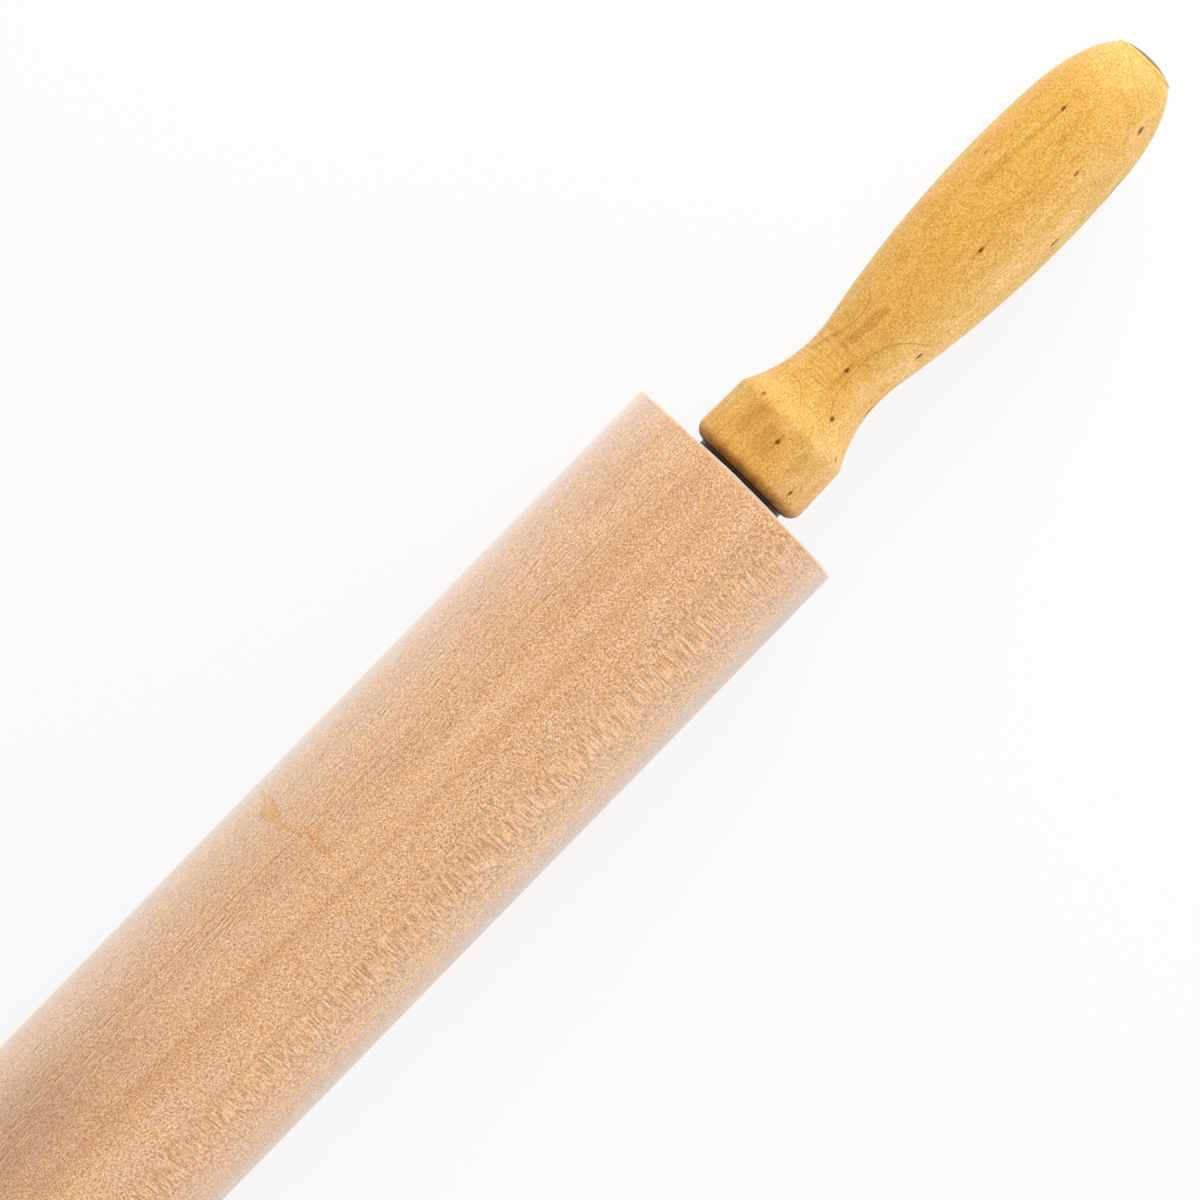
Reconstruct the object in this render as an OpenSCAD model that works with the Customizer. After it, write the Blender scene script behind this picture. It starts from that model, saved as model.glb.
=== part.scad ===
// Rolling pin with a wooden barrel that turns on two ball bearings.
// A steel axle runs through the whole pin. The handles are clamped on its ends.
// The axle lies along X, left is -X and right is +X, and the origin is the barrel's centre.

/* [Barrel] */
// Length of the barrel
barrel_len = 300; // [200:5:450]
// Diameter of the barrel
barrel_d = 60; // [45:1:90]
// Radius of the eased edge at each end of the barrel
barrel_edge_r = 1; // [0.5:0.1:3]
// Space between the axle and the bore through the barrel
barrel_bore_clear = 1; // [0.5:0.1:2]

/* [Handle] */
// Length of a handle from its base to the seat of its end plug
handle_len = 129.5; // [115:0.5:170]
// Diameter of the collar next to the barrel
collar_d = 30.9; // [28:0.1:36]
// How much smaller the collar is at the shoulder than at its base
collar_taper = 0.3; // [0:0.1:1]
// Length of the collar
collar_len = 16; // [12:0.5:20]
// Radius of the rounded base of the collar
base_round_r = 3.2; // [1:0.1:5]
// Width of the eased edge where the collar drops to the neck
collar_edge = 1.6; // [0.4:0.1:2.4]
// Diameter of the neck
neck_d = 20.8; // [17:0.1:24]
// Distance of the neck from the handle's base
neck_at = 33.6; // [28:0.1:40]
// Radius of the hollow curve from the neck to the grip
neck_curve_r = 35.5; // [20:0.5:60]
// Largest diameter of the grip
grip_d = 31; // [28:0.1:36]
// Distance of the widest part of the grip from the plug seat
grip_to_tip = 40.3; // [35:0.1:50]
// Distance from the plug seat at which the grip starts to close
shoulder_to_tip = 20; // [15:0.5:25]
// Reach of the closing curve at the grip
shoulder_reach = 7.1; // [4:0.1:10]
// Reach of the closing curve at the tip
tip_reach = 5.3; // [3:0.1:8]
// Slope of the handle's surface at the tip, in degrees
tip_slope = 48; // [30:1:60]
// Diameter of the handle at the plug seat
end_d = 15.7; // [15.2:0.1:20]
// Space between the axle and the bore of the handle
handle_bore_clear = 0.2; // [0.1:0.05:0.5]

/* [Axle] */
// Diameter of the axle
axle_d = 8; // [7:0.1:9]
// Diameter of the threaded ends
thread_d = 6; // [5:0.1:6.5]
// Length of thread that stands past the nut
thread_out = 2; // [1:0.5:4]
// Gap between the axle's shoulder and the handle washer, so that the nut clamps wood
shoulder_gap = 1; // [0.5:0.1:3]
// Chamfer on the threaded ends
thread_chamfer = 0.8; // [0.3:0.1:1.2]

/* [Bearing] */
// Outer diameter of a bearing
bearing_d = 22; // [21:0.1:24]
// Width of a bearing
bearing_w = 7; // [7:0.1:9]
// Diameter of a ball
ball_d = 3.969; // [3.5:0.001:4.2]
// Number of balls in a bearing
ball_count = 7; // [6:1:8]
// Depth of the ball groove in a ring
groove_depth = 0.535; // [0.3:0.005:0.7]
// Space between a ball and its groove
ball_play = 0.03; // [0.02:0.01:0.08]
// Thickness of a shield
shield_t = 0.4; // [0.3:0.05:0.6]
// Depth of a shield below the face of its bearing
shield_inset = 0.25; // [0.1:0.05:0.4]
// Height of the step in the outer ring that holds a shield
shield_step = 0.65; // [0.4:0.05:0.8]
// Space between a shield and the inner ring
shield_gap = 0.3; // [0.2:0.05:0.5]
// Space between the cage and a ring
cage_gap = 0.45; // [0.3:0.05:0.6]
// Space between the cage and a shield
cage_side_gap = 0.35; // [0.3:0.05:0.45]
// Space between a ball and its pocket in the cage
pocket_gap = 0.08; // [0.05:0.01:0.1]
// Length of the cage on the open side of a ball
cage_horn = 1.2; // [0.8:0.1:1.5]
// Depth of the bearing below the barrel's end face
bearing_inset = 0.5; // [0.2:0.1:2]
// Space of a pressed or slid fit of a bearing ring
ring_fit = 0.02; // [0.01:0.01:0.05]

/* [Retaining ring] */
// Thickness of a retaining ring
clip_t = 0.8; // [0.6:0.1:1.2]
// Width of the band of a retaining ring
clip_band = 1.6; // [1:0.1:2]
// Depth of the groove in the axle
clip_groove = 0.2; // [0.1:0.05:0.4]
// Play of the ring in its groove
clip_play = 0.1; // [0.05:0.05:0.2]
// Width of the opening in the ring
clip_mouth = 2.6; // [1.5:0.1:4]
// Diameter of an ear of the ring
clip_ear_d = 3; // [2.4:0.1:3.2]
// Diameter of the hole in an ear
clip_eye_d = 1.2; // [0.8:0.1:1.5]
// Space around the ring's ears in the barrel
clip_room = 1; // [0.5:0.1:1.2]

/* [Washers] */
// Diameter of the bright washer that faces the barrel
cover_washer_d = 25; // [23:0.5:28]
// Thickness of the bright washer
cover_washer_t = 0.6; // [0.5:0.1:2]
// Diameter of the dark washer that the handle seats on
seat_washer_d = 24.4; // [22:0.1:28]
// Thickness of the dark washer
seat_washer_t = 1.1; // [0.5:0.1:2]
// Gap between the bright washer and the barrel's end face
face_gap = 0.3; // [0.2:0.1:1]
// Space between the washers and the axle
washer_clear = 0.15; // [0.1:0.05:0.4]

/* [Handle end] */
// Diameter of the small washer under the nut
nut_washer_d = 12; // [11:0.1:12.3]
// Thickness of the small washer
nut_washer_t = 1.6; // [1:0.1:2.5]
// Width of the nut across its flats
nut_flats = 10; // [9:0.1:10.4]
// Height of the nut
nut_h = 5; // [4:0.1:6.5]
// Diameter of the counterbore in the tip
counterbore_d = 12.7; // [12.5:0.1:13.5]
// Length of the plug's shank
plug_shank = 5; // [3:0.5:10]
// Empty space between the axle's end and the plug
plug_air = 2.4; // [1:0.1:6]
// Thickness of the plug's head at its rim
plug_rim_t = 0.6; // [0.3:0.1:2]
// Height of the plug's dome above its rim
plug_dome = 1.7; // [0.3:0.1:2.5]
// How far the plug's head stays inside the handle's end diameter
plug_rim_in = 0.05; // [0:0.05:0.5]
// Space of the plug, the nut and the thread in what holds them
push_fit = 0.03; // [0.01:0.01:0.1]

/* [Hidden] */
$fn = 96;

// Steps in one curve of an outline, and overrun of a cut past a face
curve_steps = 10;
over = 1;

// Bearing radii
axle_r = axle_d / 2;
bearing_r = bearing_d / 2;
pitch_r = (axle_r + bearing_r) / 2;
ball_r = ball_d / 2;
groove_r = ball_r + ball_play;
inner_land_r = pitch_r - groove_r + groove_depth;
outer_land_r = pitch_r + groove_r - groove_depth;
shield_seat_r = outer_land_r + shield_step;
shield_depth = shield_inset + shield_t;

// Places along X on the right side, from the barrel's centre outwards
barrel_end = barrel_len / 2;
bearing_face = barrel_end - bearing_inset;
bearing_back = bearing_face - bearing_w;
bearing_mid = bearing_face - bearing_w / 2;
cover_face = barrel_end + face_gap;
seat_face = cover_face + cover_washer_t;
handle_face = seat_face + seat_washer_t;
plug_face = handle_face + handle_len;
axle_end = plug_face - plug_shank - plug_air;
nut_face = axle_end - thread_out - nut_h;
nut_washer_face = nut_face - nut_washer_t;
axle_shoulder = nut_washer_face - shoulder_gap;

// Retaining ring, in a groove against the back of the bearing
clip_in_r = axle_r - clip_groove;
clip_out_r = clip_in_r + clip_band;
ear_at_r = clip_out_r + clip_ear_d / 2 - clip_band / 2;
clip_reach_r = ear_at_r + clip_ear_d / 2;
clip_back = bearing_back - clip_t;
relief_r = clip_reach_r + clip_room;
relief_back = clip_back - clip_room;

// Points along an arc: x and radius from its centre, from angle a to angle b
function arc(centre, r, a, b, steps = curve_steps) =
    [for (i = [0:steps]) centre + r * [cos(a + (b - a) * i / steps), sin(a + (b - a) * i / steps)]];

// Points along a cubic curve from p to s, with its two middle points
function curve(p, q, r, s, steps = curve_steps) =
    [for (i = [0:steps]) let(u = i / steps, v = 1 - u)
        v * v * v * p + 3 * v * v * u * q + 3 * v * u * u * r + u * u * u * s];

// The same list without its first point, where two curves meet
function rest_of(points) = [for (i = [1:len(points) - 1]) points[i]];

// A solid of revolution about X from a closed outline of [x, radius] points
module turned(outline) {
    rotate([0, 90, 0])
        rotate_extrude()
            polygon([for (p = outline) [p[1], p[0]]]);
}

// A ring of rectangular section about X, from x to x + t
module ring(x, t, r_in, r_out) {
    turned([[x, r_in], [x + t, r_in], [x + t, r_out], [x, r_out]]);
}

// A right-hand piece, or its mirror image on the left
module side(right) {
    if (right) children();
    else mirror([1, 0, 0]) children();
}

// Barrel outline: eased ends, a pocket for each bearing, room for each retaining ring, and the bore
function barrel_half() = let(edge = [barrel_end - barrel_edge_r, barrel_d / 2 - barrel_edge_r])
    concat(arc(edge, barrel_edge_r, 90, 0, 6),
        [[barrel_end, bearing_r + ring_fit], [bearing_back, bearing_r + ring_fit],
         [bearing_back, relief_r], [relief_back, relief_r],
         [relief_back, axle_r + barrel_bore_clear]]);

module barrel() {
    right_half = barrel_half();
    last = len(right_half) - 1;
    left_half = [for (i = [last:-1:0]) [-right_half[i][0], right_half[i][1]]];
    color("#e0b48c") turned(concat(right_half, left_half));
}

// Outer ring of a bearing: pressed in its pocket, with the ball groove and a step for each shield
module bearing_outer_ring() {
    color("#b9bcc0") difference() {
        ring(bearing_back, bearing_w, outer_land_r, bearing_r);
        translate([bearing_mid, 0, 0]) ball_track();
        ring(bearing_back - over, shield_depth + over, outer_land_r - over, shield_seat_r);
        ring(bearing_face - shield_depth, shield_depth + over, outer_land_r - over, shield_seat_r);
    }
}

// Inner ring of a bearing: slides on the axle and is clamped between the shim and the retaining ring
module bearing_inner_ring() {
    color("#b9bcc0") difference() {
        ring(bearing_back, bearing_w, axle_r + ring_fit, inner_land_r);
        translate([bearing_mid, 0, 0]) ball_track();
    }
}

// The round track that the balls run in, cut from both rings
module ball_track() {
    rotate([0, 90, 0])
        rotate_extrude()
            translate([pitch_r, 0]) circle(r = groove_r);
}

// A shield: a thin disc held by the outer ring
module bearing_shield(x) {
    color("#8e9297") ring(x, shield_t, inner_land_r + shield_gap, shield_seat_r - ring_fit);
}

// Cage: a crown with one pocket for each ball, closed on the outer side
module bearing_cage() {
    back = bearing_mid - cage_horn;
    front = bearing_face - shield_depth - cage_side_gap;
    color("#c9a24a") difference() {
        ring(back, front - back, inner_land_r + cage_gap, outer_land_r - cage_gap);
        at_each_ball() sphere(r = ball_r + pocket_gap);
    }
}

// Balls: separate solids that share this node
module bearing_balls() {
    color("#d5d8dc") at_each_ball() sphere(r = ball_r);
}

module at_each_ball() {
    for (i = [0:ball_count - 1])
        rotate([360 * i / ball_count, 0, 0]) translate([bearing_mid, 0, pitch_r]) children();
}

// Axle outline on the right side: full diameter, ring groove, shoulder and threaded end
function axle_half() = [
    [clip_back, axle_r], [clip_back, clip_in_r],
    [bearing_back + clip_play, clip_in_r], [bearing_back + clip_play, axle_r],
    [axle_shoulder, axle_r], [axle_shoulder, thread_d / 2],
    [axle_end - thread_chamfer, thread_d / 2],
    [axle_end, thread_d / 2 - thread_chamfer], [axle_end, 0]];

module axle_rod() {
    right_half = axle_half();
    last = len(right_half) - 1;
    left_half = [for (i = [last:-1:0]) [-right_half[i][0], right_half[i][1]]];
    color("#a7abb0") turned(concat(left_half, right_half));
}

// Retaining ring: an open spring ring with two eared ends, behind the bearing
module retaining_ring() {
    ear_turn = asin((clip_mouth + clip_ear_d) / 2 / ear_at_r);
    color("#5c5f63") difference() {
        union() {
            ring(clip_back, clip_t, clip_in_r, clip_out_r);
            for (turn = [-ear_turn, ear_turn])
                rotate([turn, 0, 0]) translate([clip_back, 0, ear_at_r])
                    rotate([0, 90, 0]) cylinder(d = clip_ear_d, h = clip_t);
        }
        translate([clip_back - over, -clip_mouth / 2, 0])
            cube([clip_t + 2 * over, clip_mouth, clip_reach_r + over]);
        for (turn = [-ear_turn, ear_turn])
            rotate([turn, 0, 0]) translate([clip_back - over, 0, ear_at_r])
                rotate([0, 90, 0]) cylinder(d = clip_eye_d, h = clip_t + 2 * over);
    }
}

// Shim: carries the clamping force to the inner ring and keeps the cover washer off the barrel
module shim_washer() {
    color("#a7abb0")
        ring(bearing_face, cover_face - bearing_face, axle_r + washer_clear, inner_land_r);
}

// Cover washer: the bright disc that hides the bearing
module cover_washer() {
    color("#e8e8e4") ring(cover_face, cover_washer_t, axle_r + washer_clear, cover_washer_d / 2);
}

// Seat washer: the dark disc that the handle is clamped against
module seat_washer() {
    color("#2e2b2a") ring(seat_face, seat_washer_t, axle_r + washer_clear, seat_washer_d / 2);
}

// Handle outline: rounded base, collar, neck, grip and closing tip, then the counterbore and the bore
function handle_outline() = let(
    base_r = collar_d / 2,
    collar_end_r = base_r - collar_taper,
    neck_r = neck_d / 2,
    grip_r = grip_d / 2,
    grip_at = handle_len - grip_to_tip,
    shoulder_at = handle_len - shoulder_to_tip,
    // Hollow from the collar to the neck
    drop = collar_end_r - neck_r,
    run = neck_at - collar_len,
    hollow_r = (run * run + drop * drop) / (2 * drop),
    hollow_turn = asin(run / hollow_r),
    // Neck curve and grip curve, which touch where both have the same slope
    rise = grip_r - neck_r,
    swell = grip_at - neck_at,
    both_r = (swell * swell + rise * rise) / (2 * rise),
    swell_turn = asin(swell / both_r),
    grip_curve_r = both_r - neck_curve_r,
    // Closing curve from the shoulder to the tip
    shoulder_turn = asin((shoulder_at - grip_at) / grip_curve_r),
    shoulder = [shoulder_at, grip_r - grip_curve_r + grip_curve_r * cos(shoulder_turn)],
    tip = [handle_len, end_d / 2],
    hollow = arc([neck_at, neck_r + hollow_r], hollow_r, -90 - hollow_turn, -90),
    edge_start = [collar_len - collar_edge, collar_end_r],
    edge_mid = [collar_len, collar_end_r])
    concat(
        [[0, axle_r + handle_bore_clear]],
        arc([base_round_r, base_r - base_round_r], base_round_r, 180, 90, 8),
        curve(edge_start, edge_mid, edge_mid, hollow[1], 5),
        [for (i = [2:len(hollow) - 1]) hollow[i]],
        rest_of(arc([neck_at, neck_r + neck_curve_r], neck_curve_r, -90, -90 + swell_turn, 6)),
        rest_of(arc([grip_at, grip_r - grip_curve_r], grip_curve_r, 90 + swell_turn, 90 - shoulder_turn, 16)),
        rest_of(curve(shoulder, shoulder + shoulder_reach * [cos(shoulder_turn), -sin(shoulder_turn)],
            tip - tip_reach * [cos(tip_slope), -sin(tip_slope)], tip, 12)),
        [[handle_len, counterbore_d / 2], [nut_washer_face - handle_face, counterbore_d / 2],
         [nut_washer_face - handle_face, axle_r + handle_bore_clear]]);

module handle() {
    color("#dca24e") translate([handle_face, 0, 0]) turned(handle_outline());
}

// Small washer that spreads the nut's load on the wood
module nut_washer() {
    color("#a7abb0") ring(nut_washer_face, nut_washer_t, thread_d / 2 + washer_clear, nut_washer_d / 2);
}

// Hexagon nut on the axle's thread, with its corners chamfered on both faces
module handle_nut() {
    corner_r = nut_flats / 2 / cos(30);
    chamfer = corner_r - nut_flats / 2;
    color("#a7abb0") difference() {
        intersection() {
            translate([nut_face, 0, 0]) rotate([0, 90, 0]) cylinder(r = corner_r, h = nut_h, $fn = 6);
            turned([[nut_face, 0], [nut_face, corner_r - chamfer], [nut_face + chamfer / 2, corner_r],
                [nut_face + nut_h - chamfer / 2, corner_r], [nut_face + nut_h, corner_r - chamfer],
                [nut_face + nut_h, 0]]);
        }
        ring(nut_face - over, nut_h + 2 * over, 0, thread_d / 2 + push_fit);
    }
}

// Plug that closes the counterbore: a straight shank under a thin domed head
module end_plug() {
    head_r = end_d / 2 - plug_rim_in;
    shank_r = counterbore_d / 2 - push_fit;
    dome_r = (head_r * head_r + plug_dome * plug_dome) / (2 * plug_dome);
    dome_turn = asin(head_r / dome_r);
    top = plug_face + plug_rim_t + plug_dome;
    color("#c98f45") turned(concat(
        [[plug_face - plug_shank, 0], [plug_face - plug_shank, shank_r], [plug_face, shank_r],
         [plug_face, head_r]],
        arc([top - dome_r, 0], dome_r, dome_turn, 0, 6)));
}

barrel();
side(false) bearing_outer_ring();  // bearing_outer_ring_left
side(true) bearing_outer_ring();  // bearing_outer_ring_right
side(false) bearing_shield(bearing_back + shield_inset);  // bearing_inner_shield_left
side(true) bearing_shield(bearing_back + shield_inset);  // bearing_inner_shield_right
side(false) bearing_shield(bearing_face - shield_depth);  // bearing_outer_shield_left
side(true) bearing_shield(bearing_face - shield_depth);  // bearing_outer_shield_right
side(false) bearing_inner_ring();  // bearing_inner_ring_left
side(true) bearing_inner_ring();  // bearing_inner_ring_right
side(false) bearing_cage();  // bearing_cage_left
side(true) bearing_cage();  // bearing_cage_right
side(false) bearing_balls();  // bearing_balls_left
side(true) bearing_balls();  // bearing_balls_right
axle_rod();
side(false) retaining_ring();  // retaining_ring_left
side(true) retaining_ring();  // retaining_ring_right
side(false) shim_washer();  // shim_washer_left
side(true) shim_washer();  // shim_washer_right
side(false) cover_washer();  // cover_washer_left
side(true) cover_washer();  // cover_washer_right
side(false) seat_washer();  // seat_washer_left
side(true) seat_washer();  // seat_washer_right
side(false) handle();  // handle_left
side(true) handle();  // handle_right
side(false) nut_washer();  // nut_washer_left
side(true) nut_washer();  // nut_washer_right
side(false) handle_nut();  // handle_nut_left
side(true) handle_nut();  // handle_nut_right
side(false) end_plug();  // end_plug_left
side(true) end_plug();  // end_plug_right
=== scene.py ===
import math
import random

import bmesh
import bpy
from mathutils import Matrix, Vector


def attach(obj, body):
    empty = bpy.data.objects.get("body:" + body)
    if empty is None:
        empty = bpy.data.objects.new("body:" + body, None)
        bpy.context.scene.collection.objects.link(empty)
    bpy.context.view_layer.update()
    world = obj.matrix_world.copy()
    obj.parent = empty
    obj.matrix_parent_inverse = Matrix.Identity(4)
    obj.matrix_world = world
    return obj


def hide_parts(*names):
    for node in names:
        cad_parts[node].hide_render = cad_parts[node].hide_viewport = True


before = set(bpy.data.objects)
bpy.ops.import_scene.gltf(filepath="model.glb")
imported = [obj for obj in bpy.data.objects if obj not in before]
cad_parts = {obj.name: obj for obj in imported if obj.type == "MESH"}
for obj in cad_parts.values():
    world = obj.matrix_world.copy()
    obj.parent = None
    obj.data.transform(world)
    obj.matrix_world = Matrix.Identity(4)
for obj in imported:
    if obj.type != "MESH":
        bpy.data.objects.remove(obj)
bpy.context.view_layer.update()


# Barrel
# One straight cylinder of pale, close-grained hardwood, turned, bored through and sanded, with no varnish.
# Each end has a pocket for a ball bearing, with room behind it for a retaining ring, and eased edges.

mm = 0.001
barrel_end = 150 * mm
barrel_r = 30 * mm
barrel_edge = 1.0 * mm
axle_r = 4 * mm
barrel_bore_clear = 1 * mm
barrel_bore_r = axle_r + barrel_bore_clear
pocket_r = 11.02 * mm
pocket_depth = 7.5 * mm
pocket_floor = barrel_end - pocket_depth
pocket_chamfer = 0.4 * mm
relief_r = 8.6 * mm
relief_depth = 1.8 * mm
relief_floor = pocket_floor - relief_depth
same_point = 0.002 * mm
grain_depth = 0.05 * mm

maple_deep = (0.430, 0.160, 0.012, 1)
maple_mid = (0.738, 0.402, 0.180, 1)
maple_pale = (0.970, 0.670, 0.425, 1)
maple_yellow = (1.055, 1.00, 0.84, 1)
maple_pink = (0.955, 1.00, 1.17, 1)
maple_edge = (0.640, 0.290, 0.100, 1)
pore_brown = (0.480, 0.190, 0.030, 1)
line_brown = (0.380, 0.135, 0.030, 1)
speck_brown = (0.160, 0.075, 0.035, 1)
honey_stain = (0.965, 0.755, 0.185, 1)
honey_rim = (0.920, 0.850, 0.680, 1)
darker_band = (0.925, 0.885, 0.825, 1)
# Painted shade: the light falling off along the left part of the barrel
painted_falloff_shade = (0.765, 0.720, 0.680, 1)
# Paler years, and painted sheen at the barrel's far and near edges
paler_tone_and_sheen = (1.035, 1.060, 1.100, 1)
# Yellower years, and painted shade just inside the near edge
yellow_tone_and_shade = (1.010, 0.980, 0.840, 1)
# Painted highlight beside each pore, for the lit edge of its groove
painted_pore_highlight = (1.000, 0.760, 0.500, 1)
# Painted reflection: the near side paler and bluer, as if lit by a rim light
painted_near_reflection = (1.000, 1.035, 1.140, 1)


def bow(x, r, radius, start, end, steps):
    """Points of an outline along an arc about (x, r), with its angles in degrees from +X outwards."""
    turns = [math.radians(start + (end - start) * i / steps) for i in range(steps + 1)]
    return [(x + radius * math.cos(a), r + radius * math.sin(a)) for a in turns]


def straight(start, end, steps):
    """Points of an outline along a straight stretch, without its two ends."""
    return [(start[0] + (end[0] - start[0]) * i / steps,
             start[1] + (end[1] - start[1]) * i / steps) for i in range(1, steps)]


def turned(name, outline, closed=True, steps=160, sharp=28):
    """A wooden or metal piece turned about X from an outline of (x, radius) points."""
    shape = bmesh.new()
    points = [shape.verts.new((x, 0, r)) for x, r in outline]
    edges = [shape.edges.new(pair) for pair in zip(points, points[1:])]
    if closed:
        edges.append(shape.edges.new((points[-1], points[0])))
    bmesh.ops.spin(shape, geom=points + edges, cent=(0, 0, 0), axis=(1, 0, 0),
                   angle=math.tau, steps=steps, use_merge=True)
    bmesh.ops.remove_doubles(shape, verts=shape.verts, dist=same_point)
    bmesh.ops.recalc_face_normals(shape, faces=shape.faces)
    return finished(name, shape, sharp)


def finished(name, shape, sharp=28):
    """Puts a shaped piece in the scene, smooth but for its edges sharper than this many degrees."""
    mesh = bpy.data.meshes.new(name)
    shape.to_mesh(mesh)
    shape.free()
    mesh.shade_smooth()
    mesh.set_sharp_from_angle(angle=math.radians(sharp))
    piece = bpy.data.objects.new(name, mesh)
    bpy.context.scene.collection.objects.link(piece)
    return piece


def wire(tree, made, inputs):
    """Links each of these inputs of a node to a socket, or sets it to a plain value."""
    for key, value in inputs.items():
        if isinstance(value, bpy.types.NodeSocket):
            tree.links.new(value, made.inputs[key])
        else:
            made.inputs[key].default_value = value


def node(tree, kind, inputs=None, **settings):
    """A shader node with its settings and its inputs."""
    made = tree.nodes.new(kind)
    for key, value in settings.items():
        setattr(made, key, value)
    wire(tree, made, inputs or {})
    return made


def calc(tree, operation, a, b=0.0, c=0.0):
    """The result of one sum."""
    return node(tree, "ShaderNodeMath", {0: a, 1: b, 2: c}, operation=operation).outputs[0]


def product(tree, first, *others):
    """Some values multiplied together."""
    for other in others:
        first = calc(tree, "MULTIPLY", first, other)
    return first


def added(tree, value, pattern, share):
    """A value with this share of a pattern added, counted from the pattern's middle."""
    return calc(tree, "MULTIPLY_ADD", calc(tree, "SUBTRACT", pattern, 0.5), share, value)


def place_calc(tree, operation, a, b=(0, 0, 0), out="Vector"):
    """The result of one sum of places, which is itself a place, or a value for a length or a dot product."""
    return node(tree, "ShaderNodeVectorMath", {0: a, 1: b}, operation=operation).outputs[out]


def times(tree, place, *factors):
    """A place with its three parts multiplied, which squeezes or stretches a pattern."""
    return place_calc(tree, "MULTIPLY", place, factors)


def scaled(tree, place, factor):
    """A place with all its parts multiplied by one value."""
    return node(tree, "ShaderNodeVectorMath", {0: place, "Scale": factor}, operation="SCALE").outputs[0]


def place_of(tree, x, y=0.0, z=0.0):
    """A place from its three parts."""
    return node(tree, "ShaderNodeCombineXYZ", {0: x, 1: y, 2: z}).outputs[0]


def parts_of(tree, place):
    """The three parts of a place."""
    return node(tree, "ShaderNodeSeparateXYZ", {0: place}).outputs


def out_from_x(tree, y, z):
    """How far a place is from the X axis, from its two other parts."""
    return calc(tree, "SQRT", calc(tree, "MULTIPLY_ADD", y, y, calc(tree, "MULTIPLY", z, z)))


def cloud(tree, place, detail=1.0, rough=0.5, twist=0.0):
    """A soft random pattern from 0 to 1, one unit of the place to a patch."""
    made = node(tree, "ShaderNodeTexNoise", {"Vector": place, "Scale": 1.0, "Detail": detail,
                                             "Roughness": rough, "Distortion": twist})
    return made.outputs[0]


def ease(tree, value, low, high, to_low=0.0, to_high=1.0):
    """A smooth step from to_low to to_high as the value goes from low to high."""
    return spread(tree, value, low, high, to_low, to_high, "SMOOTHSTEP")


def spread(tree, value, low, high, to_low=0.0, to_high=1.0, way="LINEAR"):
    """A straight change from to_low to to_high as the value goes from low to high."""
    made = node(tree, "ShaderNodeMapRange", {"Value": value, "From Min": low, "From Max": high,
                                             "To Min": to_low, "To Max": to_high}, interpolation_type=way)
    return made.outputs[0]


# The numbers of the mix node's sockets for two colours and for the colour that comes out
mix_a, mix_b, mix_out = 6, 7, 2


def mixed(tree, amount, a, b):
    """Colour a turned towards colour b by an amount."""
    made = node(tree, "ShaderNodeMix", {0: amount, mix_a: a, mix_b: b}, data_type="RGBA")
    return made.outputs[mix_out]


def stained(tree, amount, colour, stain):
    """A colour multiplied by a stain's colour, by an amount."""
    made = node(tree, "ShaderNodeMix", {0: amount, mix_a: colour, mix_b: stain}, data_type="RGBA",
                blend_type="MULTIPLY")
    return made.outputs[mix_out]


def shades(tree, value, stops):
    """A run of colours over a value, from a list of (value, colour)."""
    made = node(tree, "ShaderNodeValToRGB", {0: value})
    ramp = made.color_ramp.elements
    while len(ramp) < len(stops):
        ramp.new(0.5)
    for stop, (at, colour) in zip(ramp, stops):
        stop.position = at
        stop.color = colour
    return made.outputs[0]


def put_on(pieces, material):
    """Gives each piece one material in all its slots."""
    for piece in pieces:
        if not piece.data.materials:
            piece.data.materials.append(material)
        for i in range(len(piece.data.materials)):
            piece.data.materials[i] = material


def new_material(name):
    """An empty material with its shader, and the shader's tree."""
    material = bpy.data.materials.new(name)
    material.use_nodes = True
    tree = material.node_tree
    tree.nodes.clear()
    shader = tree.nodes.new("ShaderNodeBsdfPrincipled")
    out = tree.nodes.new("ShaderNodeOutputMaterial")
    tree.links.new(shader.outputs[0], out.inputs["Surface"])
    return material, tree, shader


def raised(tree, height, strength, distance):
    """The bumps that a height pattern makes in a smooth surface."""
    return node(tree, "ShaderNodeBump", {"Height": height, "Strength": strength,
                                         "Distance": distance}).outputs[0]


def object_place(tree):
    """The place on the object in millimetres."""
    return times(tree, node(tree, "ShaderNodeTexCoord").outputs["Object"], 1 / mm, 1 / mm, 1 / mm)


def new_group(name, inputs, outputs):
    """An empty node group, its given values and its output node. An input is (label, kind, first value)."""
    group = bpy.data.node_groups.new(name, "ShaderNodeTree")
    for label, kind, value in inputs:
        socket = group.interface.new_socket(label, in_out="INPUT", socket_type=kind)
        if value is not None:
            socket.default_value = value
    for label, kind in outputs:
        group.interface.new_socket(label, in_out="OUTPUT", socket_type=kind)
    return group, group.nodes.new("NodeGroupInput").outputs, group.nodes.new("NodeGroupOutput")


# The range of a plain random pattern that is spread to the whole of 0 to 1
full_contrast = (0.22, 0.78)


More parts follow.
